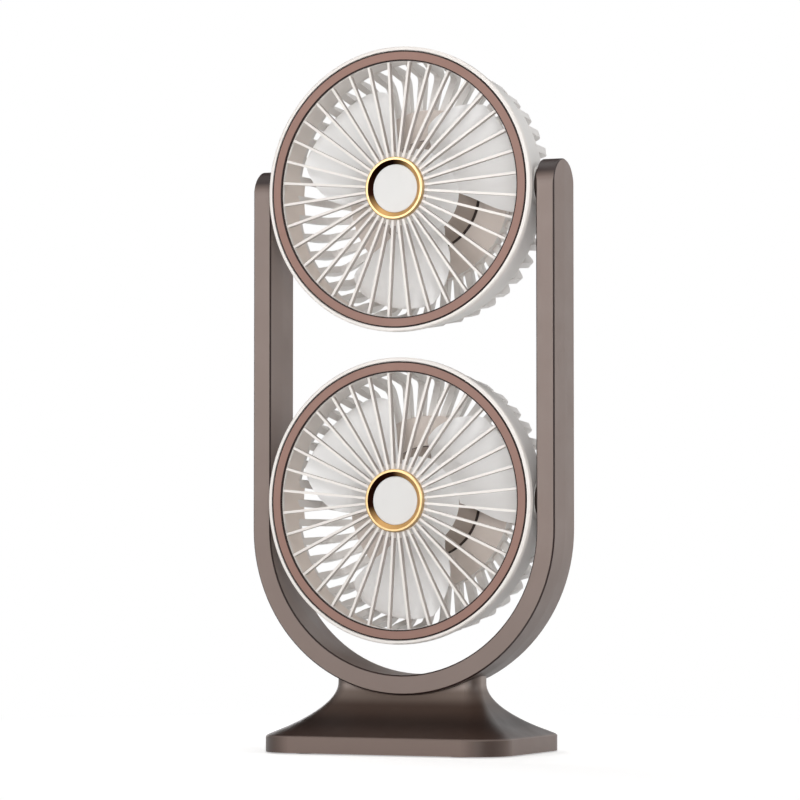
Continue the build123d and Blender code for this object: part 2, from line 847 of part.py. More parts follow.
def make_base_shell():
    cover_top = base_bottom + cover_thickness
    roof = base_top - base_roof
    inner_width = base_width - 2 * base_wall
    inner_depth = base_depth - 2 * base_wall
    neck_top = yoke_arc_height(yoke_outer, neck_width / 2)
    rear_plane = Plane(origin=(0, base_depth / 2, 0), x_dir=(-1, 0, 0), z_dir=(0, 1, 0))
    with BuildPart() as shell:
        for step in range(flare_steps + 1):
            drop = step / flare_steps
            share = drop**flare_power
            with BuildSketch(Plane.XY.offset(neck_height - (neck_height - base_top) * drop)):
                RectangleRounded(
                    neck_width + (base_width - 2 * base_edge - neck_width) * share,
                    neck_depth + (base_depth - 2 * base_edge - neck_depth) * share,
                    neck_corner + (base_corner - base_edge - neck_corner) * share,
                )
        loft()
        with BuildSketch(Plane.XY.offset(base_bottom)):
            RectangleRounded(base_width, base_depth, base_corner)
        extrude(amount=base_top - base_edge - base_bottom)
        with BuildSketch(Plane.XY.offset(base_top - base_edge)):
            RectangleRounded(base_width, base_depth, base_corner)
        extrude(amount=base_edge, taper=45)
        with BuildSketch(Plane.XY.offset(neck_height)):
            RectangleRounded(neck_width, neck_depth, neck_corner)
        extrude(amount=neck_top - neck_height)
        with BuildSketch(Plane.XZ):
            with Locations((0, yoke_bend_height)):
                Circle(yoke_outer)
        extrude(amount=neck_depth, both=True, mode=Mode.SUBTRACT)
        with BuildSketch(Plane.XY.offset(base_bottom)):
            RectangleRounded(inner_width, inner_depth, base_corner - base_wall)
        extrude(amount=roof - base_bottom, mode=Mode.SUBTRACT)
        with BuildSketch(Plane.XY.offset(cover_top)):
            with cover_post_places():
                Circle(cover_post_radius)
        extrude(amount=roof - cover_top + base_roof / 2)
        with BuildSketch(Plane.XY.offset(cover_top)):
            with cover_post_places():
                Circle(screw_shank)
        extrude(amount=roof - cover_top, mode=Mode.SUBTRACT)
        with BuildSketch(Plane.XY.offset(base_bottom)):
            with Locations(*neck_screw_places()):
                Circle(neck_screw_head + loose_fit)
        extrude(amount=neck_screw_seat - base_bottom, mode=Mode.SUBTRACT)
        with BuildSketch(Plane.XY.offset(base_bottom)):
            with Locations(*neck_screw_places()):
                Circle(neck_screw_shank + seat_gap)
            Circle(lead_passage_radius)
        extrude(amount=neck_height, mode=Mode.SUBTRACT)
        with BuildSketch(rear_plane):
            with Locations((-button_spacing / 2, button_centre), (button_spacing / 2, button_centre)):
                RectangleRounded(
                    button_width + 2 * seat_gap, button_height + 2 * seat_gap, button_height / 2
                )
            with Locations((0, inlet_centre)):
                SlotOverall(inlet_width + 2 * seat_gap, inlet_height + 2 * seat_gap)
        extrude(amount=-base_wall - loose_fit, mode=Mode.SUBTRACT)
    return shell.part


def make_base_cover():
    with BuildPart() as cover:
        with BuildSketch(Plane.XY.offset(base_bottom)):
            RectangleRounded(
                base_width - 2 * base_wall - 2 * seat_gap,
                base_depth - 2 * base_wall - 2 * seat_gap,
                base_corner - base_wall - seat_gap,
            )
        extrude(amount=cover_thickness)
        with BuildSketch(Plane.XY.offset(base_bottom)):
            with foot_places():
                Circle(foot_radius + seat_gap)
        extrude(amount=foot_thickness - base_bottom, mode=Mode.SUBTRACT)
        with BuildSketch(Plane.XY.offset(base_bottom)):
            with cover_post_places():
                Circle(screw_shank + seat_gap)
        extrude(amount=cover_thickness, mode=Mode.SUBTRACT)
        with BuildSketch(Plane.XY.offset(base_bottom)):
            with cover_post_places():
                Circle(screw_head + seat_gap)
        extrude(amount=cover_screw_recess, mode=Mode.SUBTRACT)
    return cover.part


def foot_places():
    return GridLocations(base_width - 2 * foot_inset_x, base_depth - 2 * foot_inset_y, 2, 2)


def make_feet():
    with BuildPart() as feet:
        with BuildSketch(Plane.XY):
            with foot_places():
                Circle(foot_radius)
        extrude(amount=foot_thickness)
        chamfer(feet.faces().group_by(Axis.Z)[0].edges(), bezel_edge)
    return feet.part


def make_cover_screws():
    seat = base_bottom + cover_screw_recess
    screw = make_screw(screw_shank, screw_head, cover_screw_head_height, cover_screw_length)
    with BuildPart() as screws:
        with Locations(Plane(origin=(0, 0, seat - cover_screw_head_height), z_dir=(0, 0, -1))):
            with cover_post_places():
                add(screw)
    return screws.part


def make_neck_screws():
    head_top = neck_screw_seat - neck_screw_head_height
    screw = make_screw(neck_screw_shank, neck_screw_head, neck_screw_head_height, neck_screw_reach - head_top)
    with BuildPart() as screws:
        for x, y in neck_screw_places():
            with Locations(Plane(origin=(x, y, head_top), z_dir=(0, 0, -1))):
                add(screw)
    return screws.part


def make_base_weight():
    weight_bottom = base_bottom + cover_thickness
    notch_depth = weight_depth / 2 - weight_notch_front
    with BuildPart() as weight:
        with BuildSketch(Plane.XY.offset(weight_bottom)):
            RectangleRounded(weight_width, weight_depth, weight_corner)
            with Locations((0, weight_notch_front + notch_depth / 2)):
                Rectangle(weight_notch_width, notch_depth, mode=Mode.SUBTRACT)
        extrude(amount=weight_thickness)
    return weight.part


def make_control_board():
    rear = base_depth / 2 - base_wall - board_rear_gap
    with BuildPart() as board:
        with BuildSketch(Plane.XY.offset(base_bottom + cover_thickness)):
            with Locations((0, rear - board_depth / 2)):
                Rectangle(board_width, board_depth)
        extrude(amount=board_thickness)
    return board.part


def make_usb_inlet():
    face = base_depth / 2 - inlet_recess
    inlet_plane = Plane(origin=(0, face, inlet_centre), x_dir=(-1, 0, 0), z_dir=(0, 1, 0))
    with BuildPart() as inlet:
        with BuildSketch(inlet_plane):
            SlotOverall(inlet_width, inlet_height)
        extrude(amount=-inlet_depth)
        with BuildSketch(inlet_plane):
            SlotOverall(inlet_width - 2 * inlet_shell, inlet_height - 2 * inlet_shell)
            Rectangle(inlet_tongue_width, inlet_tongue_height, mode=Mode.SUBTRACT)
        extrude(amount=-inlet_depth + inlet_back, mode=Mode.SUBTRACT)
    return inlet.part


def make_tact_switches():
    wall_face = base_depth / 2 - base_wall
    tip = wall_face - button_flange_thickness - button_travel - switch_clearance
    board_top = base_bottom + cover_thickness + board_thickness
    body_rear = wall_face - board_rear_gap - switch_clearance
    with BuildPart() as switches:
        for x in (-button_spacing / 2, button_spacing / 2):
            with BuildSketch(Plane.XY.offset(board_top)):
                with Locations((x, body_rear - switch_body / 2)):
                    Rectangle(switch_width, switch_body)
            extrude(amount=switch_height)
            with BuildSketch(Plane(origin=(x, body_rear, button_centre), z_dir=(0, 1, 0))):
                Circle(switch_plunger_radius)
            extrude(amount=tip - body_rear)
    return switches.part


def make_button(x):
    wall_face = base_depth / 2 - base_wall
    flange_plane = Plane(
        origin=(x, wall_face - button_flange_thickness, button_centre), x_dir=(-1, 0, 0), z_dir=(0, 1, 0)
    )
    with BuildPart() as button:
        with BuildSketch(flange_plane):
            Rectangle(button_width + 2 * button_flange, button_height + 2 * button_flange)
        extrude(amount=button_flange_thickness)
        with BuildSketch(flange_plane):
            RectangleRounded(button_width, button_height, button_height / 2 - seat_gap)
        extrude(amount=button_flange_thickness + base_wall + button_proud)
        fillet(button.faces().sort_by(Axis.Y)[-1].edges(), button_edge_round)
    return button.part


whole_yoke = make_yoke()
export_piece(make_yoke_front_shell(whole_yoke), "yoke_front_shell")
export_piece(make_yoke_rear_shell(whole_yoke), "yoke_rear_shell")
export_piece(make_yoke_screws(), "yoke_screws")
for head, height in head_heights.items():
    export_piece(make_pivot_bushes(height), head + "_pivot_bushes")
    export_piece(make_pivot_washers(height), head + "_pivot_washers")
export_piece(make_base_shell(), "base_shell")
export_piece(make_base_cover(), "base_cover")
export_piece(make_feet(), "feet")
export_piece(make_cover_screws(), "cover_screws")
export_piece(make_neck_screws(), "neck_screws")
export_piece(make_base_weight(), "base_weight")
export_piece(make_control_board(), "control_board")
export_piece(make_usb_inlet(), "usb_inlet")
export_piece(make_tact_switches(), "tact_switches")
export_piece(make_button(-button_spacing / 2), "upper_button")
export_piece(make_button(button_spacing / 2), "lower_button")
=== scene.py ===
import json
import math
from functools import partial

import bmesh
import bpy
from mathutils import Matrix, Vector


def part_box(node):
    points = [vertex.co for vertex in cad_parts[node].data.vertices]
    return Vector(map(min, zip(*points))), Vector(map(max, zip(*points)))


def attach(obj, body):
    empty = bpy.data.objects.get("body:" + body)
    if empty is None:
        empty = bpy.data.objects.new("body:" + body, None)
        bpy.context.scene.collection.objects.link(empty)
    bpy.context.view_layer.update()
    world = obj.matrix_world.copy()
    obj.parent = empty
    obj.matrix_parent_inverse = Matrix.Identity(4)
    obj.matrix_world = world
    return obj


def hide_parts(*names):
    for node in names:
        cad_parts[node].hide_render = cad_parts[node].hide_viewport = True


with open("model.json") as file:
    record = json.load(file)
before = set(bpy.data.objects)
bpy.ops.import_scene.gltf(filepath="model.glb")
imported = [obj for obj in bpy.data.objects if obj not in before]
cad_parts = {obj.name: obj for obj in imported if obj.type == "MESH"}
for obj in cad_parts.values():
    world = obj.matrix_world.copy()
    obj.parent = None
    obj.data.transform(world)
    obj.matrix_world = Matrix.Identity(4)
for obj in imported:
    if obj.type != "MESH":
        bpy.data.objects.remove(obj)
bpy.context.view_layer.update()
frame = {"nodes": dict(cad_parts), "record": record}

# Camera, in metres and degrees, fitted to the photograph's rings, arms and base
CAMERA_PLACE = (0.792, -1.768, 0.0975)
CAMERA_YAW = 24.317
CAMERA_PITCH = 2.583
CAMERA_LENS = 165.5
CAMERA_REACH = 20.0
SENSOR_WIDTH = 36.0

# Floor and world: sizes in metres
FLOOR_SIZE = 12.0
FLOOR_COLOUR = (0.93, 0.925, 0.92)
FLOOR_ROUGHNESS = 0.9
FLOOR_GLOW = 0.45
FLOOR_FADE = (0.12, 0.5)
WORLD_STRENGTH = 0.15
WORLD_COLOUR = (1.0, 0.99, 0.98)
WHITE = (1.0, 1.0, 1.0)

# Lamps: place and width in metres, power in watts
LAMP_TARGET = (0.0, 0.0, 0.2)
LAMPS = {
    "key": ((-0.6, -2.2, 0.7), 1.0, 16),
    "fill": ((1.0, -1.8, 0.45), 0.9, 16),
    "side": ((1.9, -0.2, 0.9), 1.0, 8),
    "top": ((0.1, 0.2, 2.0), 1.2, 8),
    "back": ((-1.4, 1.3, 0.9), 1.2, 12),
}

# Flags, which are dark cards: place and size in metres, turn in degrees
FLAG_COLOUR = (0.01, 0.01, 0.01)
FLAG_ROUGHNESS = 1.0
FLAGS = {
    "side_flag": ((1.0, -0.8, 0.3), (1.2, 0.9), (90, 0, 51)),
    "floor_flag": ((0.5, -0.78, 0.012), (1.8, 1.4), (0, 0, 0)),
    "back_flag": ((-0.75, 0.85, 0.95), (1.6, 1.3), (53, 0, -139)),
}

# Colours, linear
WHITE_SHELL = (0.87, 0.825, 0.785)
WHITE_TRIM = (0.76, 0.75, 0.735)
WALL_OUTSIDE = (0.845, 0.825, 0.80)
# Painted shade inside the drum's side wall, and painted light on its top inside
WALL_INSIDE_SHADE = (0.92, 0.83, 0.76)
WALL_TOP_LIGHT = (0.95, 0.93, 0.91)
RIBS = (0.86, 0.835, 0.81)
# Painted shade in the crevices of the rear grille's ribs
RIB_CREVICE_SHADE = (0.80, 0.73, 0.68)
# Painted shade on the rear grille's closed middle
REAR_DISC_SHADE = (0.72, 0.64, 0.585)
# Painted shade on the sides of the spokes
SPOKE_SIDE_SHADE = (0.52, 0.465, 0.435)
BLADE = (0.94, 0.94, 0.935)
# Painted shade on the fan wheel's cone
HUB_CONE_SHADE = (0.37, 0.31, 0.27)
ROSE = (0.315, 0.184, 0.15)
# Painted shadow lines at the bezel's edges and the cone's foot, and painted dark reflection on the yoke's
# chamfers
EDGE_SHADE_LINE = (0.02, 0.008, 0.006)
GOLD = (0.66, 0.46, 0.235)
# Painted reflection on the hub ring's inner bevel, lighter and darker
GOLD_BEVEL_REFLECTION = (0.62, 0.36, 0.14)
GOLD_BEVEL_DARK_REFLECTION = (0.03, 0.008, 0.004)
BROWN = (0.225, 0.167, 0.144)
# Painted shade on the yoke's round tops and undersides
YOKE_SHADE = (0.06, 0.04, 0.033)
# Painted shade on the pedestal's flare: its dark tone and its darker corners
FLARE_SHADE_CLOUDS = (0.06, 0.037, 0.028)
FLARE_CORNER_SHADE = (0.03, 0.017, 0.013)
NEAR_BLACK = (0.03, 0.016, 0.012)
RUBBER = (0.025, 0.025, 0.025)
IRON = (0.25, 0.25, 0.26)
BOARD = (0.04, 0.2, 0.09)
STEEL = (0.62, 0.62, 0.63)
SCREW = (0.36, 0.35, 0.34)
FERRITE = (0.07, 0.07, 0.075)
WINDING = (0.42, 0.2, 0.08)
BRONZE = (0.55, 0.36, 0.17)
NYLON = (0.74, 0.72, 0.66)

# Pedestal's tone by height in metres, from the plate's edge up to the neck: painted shade on the flare,
# painted light near the neck
FLARE_SHADE_AND_LIGHT = {
    0.0088: (0.215, 0.16, 0.138),
    0.0098: (0.035, 0.018, 0.013),
    0.016: (0.012, 0.005, 0.003),
    0.024: (0.06, 0.037, 0.028),
    0.031: (0.19, 0.145, 0.122),
    0.036: (0.38, 0.31, 0.275),
}
FLARE_CLOUD_SHARE = 0.12
FLARE_CORNER_SHADE_GAIN = 1.6

# Noise: scales per metre, the middle range that a ramp uses, and how far gloss and metal tone vary
CLOUD_SCALE = 22.0
GLOSS_SCALE = 60.0
GRAIN_SCALE = 2600.0
METAL_CLOUD_SCALE = 90.0
METAL_GLOSS_SCALE = 240.0
METAL_GRAIN_SCALE = 3200.0
NOISE_MIDDLE = (0.3, 0.7)
GLOSS_SPREAD = (-0.04, 0.05)
METAL_GLOSS_SPREAD = (-0.05, 0.06)
METAL_TONES = (0.94, 1.04)

# Crevices: how far apart surfaces darken each other with painted shade in metres; and the gloss and clouds
# of white shells
CREVICE_REACH = 0.003
CREVICE_SAMPLES = 8
SHELL_ROUGHNESS = 0.42
SHELL_VARIATION = 0.015

# Heads: distances from the fan axis in metres where painted shade, shadow lines and reflection change, and
# how far a face turns, -1 to 1
CONE_ZONE = (0.0235, 0.0305)
CONE_SHADOW_LINE = 0.0292
CONE_FACING = 0.75
BEZEL_FACE = (0.0681, 0.0721)
GOLD_FACE = 0.0151
GOLD_FACING = -0.3
GOLD_REFLECTION_DARK_SIDE = (0.8, 0.0, -0.6)
GOLD_SHADE_GAIN = 2.5
DISC_EDGE = 0.0462
DISC_FACING = 0.7
SPOKE_ZONE = (0.0195, 0.0668)
SPOKE_FACING = 0.6
WALL_FACING = -0.6
FORWARD = (0.0, -1.0, 0.0)
DOWN = (0.0, 0.0, -1.0)

# Yoke: height in metres where the arms' round tops start, the share of painted shade on undersides, and the
# turn between front and side, 0 to 0.25, at which the painted dark reflection of an edge starts and is full
ARM_TOP_HEIGHT = 0.29
UNDERSIDE_DEPTH = 0.85
CHAMFER_TURN = (0.03, 0.12)

# Hub of the fan wheel, in metres: distances from the axis, places forward of the tilt axis, and lengths;
# its rounding goes out and back in steps, and the magnet's seat has an outer and an inner radius
HUB_FRONT = -0.0073
HUB_REAR = -0.0216
HUB_PLATE = 0.0016
HUB_FACE_RADIUS = 0.0232
HUB_ROUNDING = ((0.0006, 0.0002), (0.0009, 0.0007))
CONE_FOOT_RADIUS = 0.03
CONE_WALL = 0.0016
MAGNET_SEAT = (0.0215, 0.02)
MAGNET_SEAT_LENGTH = 0.009
BOSS_RADIUS = 0.0036
BOSS_LENGTH = 0.0045
BORE_RADIUS = 0.0015
BORE_BOTTOM = 0.001
HUB_SEGMENTS = 96
SHARP_ANGLE = 40.0

# Blades of the fan wheel, in metres and degrees; fullness and filling are shares of the thickness, at an
# edge and inward from it
BLADE_TURNS = (0.0, 120.0, 240.0)
BLADE_ROOT = 0.022
BLADE_TIP = 0.062
BLADE_CORNER = 0.055
BLADE_RISE_END = 0.036
BLADE_ROOT_PLACE = -0.0081
BLADE_REAR_PLACE = -0.0095
BLADE_FRONT_PLACE = 0.0065
BLADE_HALF_THICKNESS = 0.0007
EDGE_FULLNESS = 0.35
SIDE_FILLING = 6.0
TIP_FILLING = 4.0
BLADE_ROWS = 18
BLADE_COLUMNS = 26
LOW_EDGE_START = -1.0
LOW_EDGE_SWEEP = 11.5
LOW_EDGE_REACH = 0.028
LOW_CORNER_TURN = 10.0
HIGH_EDGE_START = 70.0
HIGH_EDGE_BEND = 0.034
HIGH_EDGE_TURN = 26.0
HIGH_EDGE_POWER = 1.5


def new_material(name):
    material = bpy.data.materials.new(name)
    material.use_nodes = True
    return material, material.node_tree


def shader_of(tree):
    return next(node for node in tree.nodes if node.type == "BSDF_PRINCIPLED")


def feed(tree, value, socket):
    """Gives an input another node's output to follow, or a plain value."""
    if isinstance(value, bpy.types.NodeSocket):
        tree.links.new(value, socket)
    else:
        socket.default_value = value


def paint(value):
    """A colour as an input takes it: an output as it is, or a plain colour made opaque."""
    return value if isinstance(value, bpy.types.NodeSocket) else (*value, 1)


def scaled(colour, factor):
    return tuple(channel * factor for channel in colour)


def add_math(tree, operation, *values):
    node = tree.nodes.new("ShaderNodeMath")
    node.operation = operation
    for value, socket in zip(values, node.inputs):
        feed(tree, value, socket)
    return node.outputs["Value"]


def add_vector(tree, operation, *values):
    node = tree.nodes.new("ShaderNodeVectorMath")
    node.operation = operation
    for value, socket in zip(values, node.inputs):
        feed(tree, value, socket)
    return node.outputs


def add_range(tree, source, span, result=(0.0, 1.0), interpolation="LINEAR"):
    """Maps a span of the source on to the result, and holds the ends beyond it."""
    spread = tree.nodes.new("ShaderNodeMapRange")
    spread.interpolation_type = interpolation
    spread.inputs["From Min"].default_value = span[0]
    spread.inputs["From Max"].default_value = span[1]
    spread.inputs["To Min"].default_value = result[0]
    spread.inputs["To Max"].default_value = result[1]
    tree.links.new(source, spread.inputs["Value"])
    return spread.outputs["Result"]


def add_blend(tree, factor, colour, over):
    """Lays a colour over another where the factor is 1."""
    mix = tree.nodes.new("ShaderNodeMix")
    mix.data_type = "RGBA"
    feed(tree, factor, mix.inputs["Factor"])
    feed(tree, paint(colour), mix.inputs["A"])
    feed(tree, paint(over), mix.inputs["B"])
    return mix.outputs["Result"]


def add_ramp(tree, source, tones, interpolation="LINEAR"):
    """A colour that follows the tones, given by their place from 0 to 1 along the source."""
    ramp = tree.nodes.new("ShaderNodeValToRGB")
    ramp.color_ramp.interpolation = interpolation
    while len(ramp.color_ramp.elements) < len(tones):
        ramp.color_ramp.elements.new(0.5)
    for stop, (place, colour) in zip(ramp.color_ramp.elements, tones.items()):
        stop.position = place
        stop.color = paint(colour)
    tree.links.new(source, ramp.inputs["Fac"])
    return ramp.outputs["Color"]


def add_reading(tree, name):
    """A piece's own coordinates or normals, which move with it."""
    return tree.nodes.new("ShaderNodeTexCoord").outputs[name]


def add_split(tree, vector):
    split = tree.nodes.new("ShaderNodeSeparateXYZ")
    tree.links.new(vector, split.inputs[0])
    return split.outputs


def add_noise(tree, scale, detail=3.0):
    noise = tree.nodes.new("ShaderNodeTexNoise")
    noise.inputs["Scale"].default_value = scale
    noise.inputs["Detail"].default_value = detail
    tree.links.new(add_reading(tree, "Object"), noise.inputs["Vector"])
    return noise.outputs["Fac"]


def add_clouds(tree, scale, colour, low, high):
    """Clouds between a darker and a lighter share of the colour."""
    tones = {NOISE_MIDDLE[0]: scaled(colour, low), NOISE_MIDDLE[1]: scaled(colour, high)}
    return add_ramp(tree, add_noise(tree, scale), tones)


def add_gloss(tree, scale, roughness, spread):
    """Roughness that varies a little over the surface."""
    low, high = spread
    return add_range(tree, add_noise(tree, scale), NOISE_MIDDLE, (roughness + low, roughness + high))


def add_bump(tree, height, distance):
    bump = tree.nodes.new("ShaderNodeBump")
    bump.inputs["Distance"].default_value = distance
    tree.links.new(height, bump.inputs["Height"])
    return bump.outputs["Normal"]


def add_crevice_shade(tree, tone, dark):
    """Deepens the tone with painted shade where surfaces meet."""
    occlusion = tree.nodes.new("ShaderNodeAmbientOcclusion")
    occlusion.inputs["Distance"].default_value = CREVICE_REACH
    occlusion.samples = CREVICE_SAMPLES
    return add_blend(tree, occlusion.outputs["AO"], dark, tone)


def add_between(tree, value, zone):
    """1 where the value lies inside the zone, and 0 elsewhere."""
    above = add_math(tree, "GREATER_THAN", value, zone[0])
    below = add_math(tree, "LESS_THAN", value, zone[1])
    return add_math(tree, "MULTIPLY", above, below)


def add_from_axis(tree, middle):
    """The way from a head's fan axis straight out to a point."""
    from_middle = add_vector(tree, "SUBTRACT", add_reading(tree, "Object"), (0.0, 0.0, middle))["Vector"]
    return add_vector(tree, "MULTIPLY", from_middle, (1.0, 0.0, 1.0))["Vector"]


def add_radius(tree, middle):
    """Distance from a head's fan axis."""
    return add_vector(tree, "LENGTH", add_from_axis(tree, middle))["Value"]


def add_outward(tree, middle):
    """How far a face turns outward from a head's fan axis, from -1 to 1."""
    outward = add_vector(tree, "NORMALIZE", add_from_axis(tree, middle))["Vector"]
    return add_vector(tree, "DOT_PRODUCT", add_reading(tree, "Normal"), outward)["Value"]


def add_facing(tree, direction):
    """How far a face turns to a direction, from 0 to 1."""
    turned = add_vector(tree, "DOT_PRODUCT", add_reading(tree, "Normal"), direction)["Value"]
    return add_math(tree, "MAXIMUM", turned, 0.0)


def add_inside_wall_shading(tree, tone, middle):
    """A deeper tone of painted shade inside the side wall, and painted light where it is overhead."""
    inward = add_math(tree, "LESS_THAN", add_outward(tree, middle), WALL_FACING)
    tone = add_blend(tree, inward, tone, WALL_INSIDE_SHADE)
    overhead = add_math(tree, "MULTIPLY", add_facing(tree, DOWN), inward)
    return add_blend(tree, overhead, tone, WALL_TOP_LIGHT)


def add_rear_disc_shade(tree, tone, middle):
    """Painted shade, a deeper tone, on the closed middle of the rear grille where it faces forward."""
    forward = add_math(tree, "GREATER_THAN", add_facing(tree, FORWARD), DISC_FACING)
    within = add_math(tree, "LESS_THAN", add_radius(tree, middle), DISC_EDGE)
    return add_blend(tree, add_math(tree, "MULTIPLY", forward, within), tone, REAR_DISC_SHADE)


def add_spoke_side_shade(tree, tone, middle):
    """Painted shade, greyer, on the sides of the front grille's spokes."""
    aside = add_math(tree, "LESS_THAN", add_facing(tree, FORWARD), SPOKE_FACING)
    within = add_between(tree, add_radius(tree, middle), SPOKE_ZONE)
    return add_blend(tree, add_math(tree, "MULTIPLY", aside, within), tone, SPOKE_SIDE_SHADE)


def add_hub_cone_shade(tree, tone, middle):
    """Painted shade in taupe on the fan wheel's cone, with a painted shadow line at its foot."""
    radius = add_radius(tree, middle)
    outward = add_math(tree, "GREATER_THAN", add_outward(tree, middle), CONE_FACING)
    cone = add_math(tree, "MULTIPLY", outward, add_between(tree, radius, CONE_ZONE))
    tone = add_blend(tree, cone, tone, HUB_CONE_SHADE)
    foot = add_math(tree, "MULTIPLY", cone, add_math(tree, "GREATER_THAN", radius, CONE_SHADOW_LINE))
    return add_blend(tree, foot, tone, EDGE_SHADE_LINE)


def add_bezel_shadow_lines(tree, tone, middle):
    """Painted shadow lines, dark, on the inner and outer edges of the bezel ring."""
    radius = add_radius(tree, middle)
    inner = add_math(tree, "LESS_THAN", radius, BEZEL_FACE[0])
    outer = add_math(tree, "GREATER_THAN", radius, BEZEL_FACE[1])
    return add_blend(tree, add_math(tree, "MAXIMUM", inner, outer), tone, EDGE_SHADE_LINE)


def add_gold_bevel_reflection(tree, tone, middle):
    """Painted reflection on the hub ring's inner bevel, a deeper tone, darkest at its upper left."""
    inward = add_math(tree, "LESS_THAN", add_outward(tree, middle), GOLD_FACING)
    within = add_math(tree, "LESS_THAN", add_radius(tree, middle), GOLD_FACE)
    bevel = add_math(tree, "MULTIPLY", inward, within)
    tone = add_blend(tree, bevel, tone, GOLD_BEVEL_REFLECTION)
    shaded = add_math(tree, "MULTIPLY", add_facing(tree, GOLD_REFLECTION_DARK_SIDE), GOLD_SHADE_GAIN)
    shaded = add_math(tree, "MULTIPLY", add_math(tree, "MINIMUM", shaded, 1.0), bevel)
    return add_blend(tree, shaded, tone, GOLD_BEVEL_DARK_REFLECTION)


def add_yoke_shades(tree, tone):
    """Painted shade, deep brown, over the arms' round tops and on undersides, and a painted dark reflection
    where the front or rear turns to a side.
    """
    normal = add_split(tree, add_reading(tree, "Normal"))
    height = add_split(tree, add_reading(tree, "Object"))["Z"]
    high = add_math(tree, "GREATER_THAN", height, ARM_TOP_HEIGHT)
    over = add_math(tree, "MULTIPLY", add_math(tree, "MAXIMUM", normal["Z"], 0.0), high)
    under = add_math(tree, "MULTIPLY", add_facing(tree, DOWN), UNDERSIDE_DEPTH)
    tone = add_blend(tree, add_math(tree, "MAXIMUM", over, under), tone, YOKE_SHADE)
    front = add_math(tree, "ABSOLUTE", normal["Y"])
    turning = add_math(tree, "MULTIPLY", front, add_math(tree, "SUBTRACT", 1.0, front))
    return add_blend(tree, add_range(tree, turning, CHAMFER_TURN), tone, EDGE_SHADE_LINE)


def add_flare_shading(tree, tone):
    """The pedestal's flare in painted shade, deep brown at its foot and corners, with painted light up to
    the neck, and lighter on the plate.
    """
    foot, neck = min(FLARE_SHADE_AND_LIGHT), max(FLARE_SHADE_AND_LIGHT)
    height = add_range(tree, add_split(tree, add_reading(tree, "Object"))["Z"], (foot, neck))
    tones = {(place - foot) / (neck - foot): colour for place, colour in FLARE_SHADE_AND_LIGHT.items()}
    ramp = add_ramp(tree, height, tones, interpolation="EASE")
    clouded = add_blend(tree, FLARE_CLOUD_SHARE, ramp, tone)
    normal = add_split(tree, add_reading(tree, "Normal"))
    corner = add_math(tree, "ABSOLUTE", add_math(tree, "MULTIPLY", normal["X"], normal["Y"]))
    return add_blend(tree, add_math(tree, "MULTIPLY", corner, FLARE_CORNER_SHADE_GAIN), clouded, FLARE_CORNER_SHADE)


def moulded(name, colour, roughness, variation=0.03, grain=0.00002, crevice_shade=None, zone=None, specular=0.5):
    """Moulded or painted plastic: cloudy colour, uneven gloss and a fine grain.

    The crevice shade colour is painted shade where surfaces meet, and zone is a function that colours one
    stretch of the piece.
    """
    material, tree = new_material(name)
    shader = shader_of(tree)
    shader.inputs["Specular IOR Level"].default_value = specular
    tone = add_clouds(tree, CLOUD_SCALE, colour, 1 - variation, 1 + variation)
    if zone:
        tone = zone(tree, tone)
    if crevice_shade:
        tone = add_crevice_shade(tree, tone, crevice_shade)
    gloss = add_gloss(tree, GLOSS_SCALE, roughness, GLOSS_SPREAD)
    tree.links.new(tone, shader.inputs["Base Color"])
    tree.links.new(gloss, shader.inputs["Roughness"])
    tree.links.new(add_bump(tree, add_noise(tree, GRAIN_SCALE, detail=2.0), grain), shader.inputs["Normal"])
    return material


def metal(name, colour, roughness, grain=0.00001, zone=None):
    """Bare or plated metal with a slightly uneven polish."""
    material, tree = new_material(name)
    shader = shader_of(tree)
    shader.inputs["Metallic"].default_value = 1.0
    tone = add_clouds(tree, METAL_CLOUD_SCALE, colour, *METAL_TONES)
    if zone:
        tone = zone(tree, tone)
    gloss = add_gloss(tree, METAL_GLOSS_SCALE, roughness, METAL_GLOSS_SPREAD)
    tree.links.new(tone, shader.inputs["Base Color"])
    tree.links.new(gloss, shader.inputs["Roughness"])
    tree.links.new(add_bump(tree, add_noise(tree, METAL_GRAIN_SCALE), grain), shader.inputs["Normal"])
    return material


def dress(node, material):
    piece = frame["nodes"][node]
    piece.data.materials.clear()
    piece.data.materials.append(material)


def dress_by_slot():
    """The material of its slot for every piece in the record."""
    by_slot = {
        "white_shell": moulded("white_shell", WHITE_SHELL, SHELL_ROUGHNESS, SHELL_VARIATION),
        "white_trim": moulded("white_trim", WHITE_TRIM, roughness=0.38, variation=0.01),
        "blade_plastic": moulded("blade_plastic", BLADE, roughness=0.36, variation=0.012),
        "brown_shell": moulded("brown_shell", BROWN, roughness=0.42, zone=add_yoke_shades),
        "rose_trim": moulded("rose_trim", ROSE, roughness=0.45),
        "dark_plastic": moulded("dark_plastic", NEAR_BLACK, roughness=0.5, variation=0.1),
        "foot_rubber": moulded("foot_rubber", RUBBER, roughness=0.7, variation=0.12, grain=0.00006),
        "weight_iron": moulded("weight_iron", IRON, roughness=0.6, variation=0.15, grain=0.00008),
        "circuit_board": moulded("circuit_board", BOARD, roughness=0.35, variation=0.06),
        "magnet": moulded("magnet", FERRITE, roughness=0.55, variation=0.1),
        "winding_core": moulded("winding_core", WINDING, roughness=0.35, variation=0.08),
        "bush_nylon": moulded("bush_nylon", NYLON, roughness=0.5),
        "gold_trim": metal("gold_trim", GOLD, roughness=0.36),
        "bright_steel": metal("bright_steel", STEEL, roughness=0.28),
        "screw_steel": metal("screw_steel", SCREW, roughness=0.34),
        "bronze": metal("bronze", BRONZE, roughness=0.42),
    }
    for subpart in frame["record"]["subparts"]:
        dress(subpart["node"], by_slot[subpart["material_slot"]])


